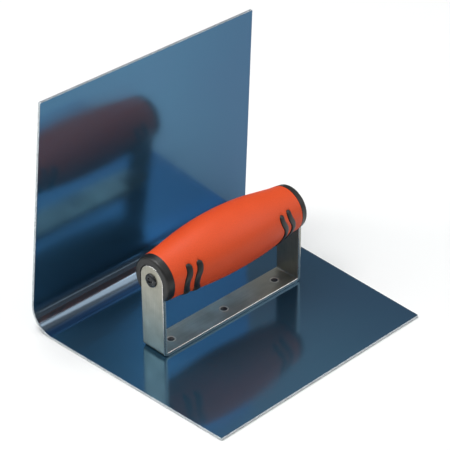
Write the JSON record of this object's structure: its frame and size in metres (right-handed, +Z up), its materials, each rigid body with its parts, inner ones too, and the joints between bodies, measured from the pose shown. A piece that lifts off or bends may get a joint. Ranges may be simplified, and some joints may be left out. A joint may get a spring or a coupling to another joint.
{
  "type": "inside step trowel",
  "caption": "Spring-steel sheet bent to an L, with a riveted strap bracket holding a soft barrel grip along the bend, for pressing and smoothing material into an inside corner.",
  "frame": {"origin": "under the middle of the overall box, on the plane of the flat limb's working face", "axes": "+X along the bend and the grip, +Y from the flat limb's free edge towards the upright limb, +Z up from the flat limb's working face"},
  "size_m": [0.1728, 0.151, 0.1518],
  "materials": {
    "blued_steel": "polished spring steel, tempered blue, bare at the cut edges",
    "strap_steel": "satin rolled steel",
    "rivet_steel": "satin, closed flush",
    "hard_plastic": "semi-matte black moulding",
    "soft_grip": "soft orange elastomer, matte",
    "black_steel": "black oxide"
  },
  "bodies": {
    "root": {"blade": "blued_steel", "handle_bracket": "strap_steel", "bracket_rivets": "rivet_steel", "handle_core": "hard_plastic", "grip_sleeve": "soft_grip", "handle_screws": "black_steel"}
  },
  "joints": []
}
